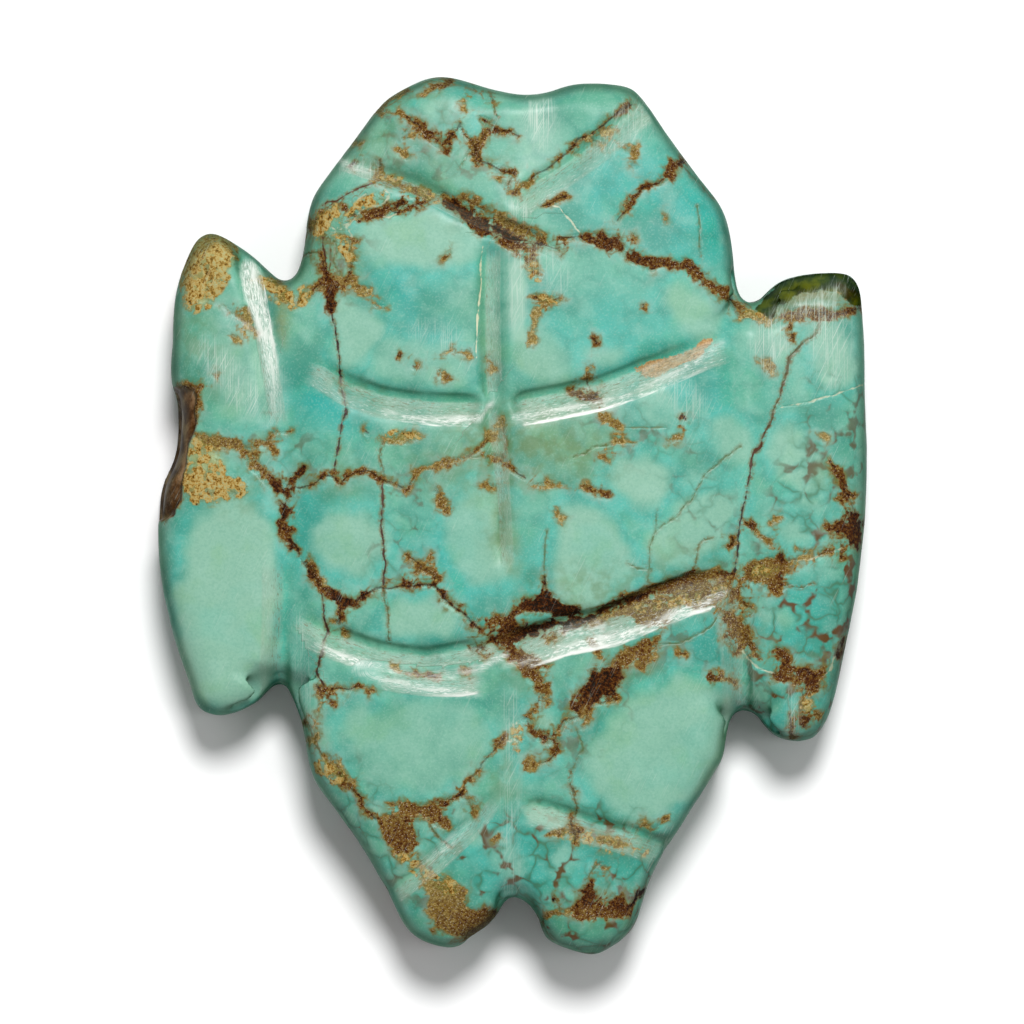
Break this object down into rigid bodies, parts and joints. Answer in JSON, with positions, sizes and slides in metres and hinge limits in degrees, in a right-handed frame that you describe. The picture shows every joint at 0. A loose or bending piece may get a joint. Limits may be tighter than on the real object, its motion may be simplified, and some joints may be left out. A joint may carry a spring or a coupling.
{
  "type": "carved stone turtle bead",
  "caption": "Flat turquoise bead carved as a turtle from above, with cut shell bands, spine, flippers and split tail, and a string hole through its length.",
  "frame": {"origin": "under the middle of the bead, on the flat underside that it lies on", "axes": "+Y along the bead to the turtle's head, +Z out of the carved face, +X to the turtle's right in the picture"},
  "size_m": [0.0226, 0.028, 0.0046],
  "materials": {
    "turquoise": "softly polished turquoise with pale green nodules, blue edges and brown and ochre matrix veins, paler and scratched in the cut grooves"
  },
  "bodies": {
    "root": {"turtle_bead": "turquoise"}
  },
  "joints": []
}
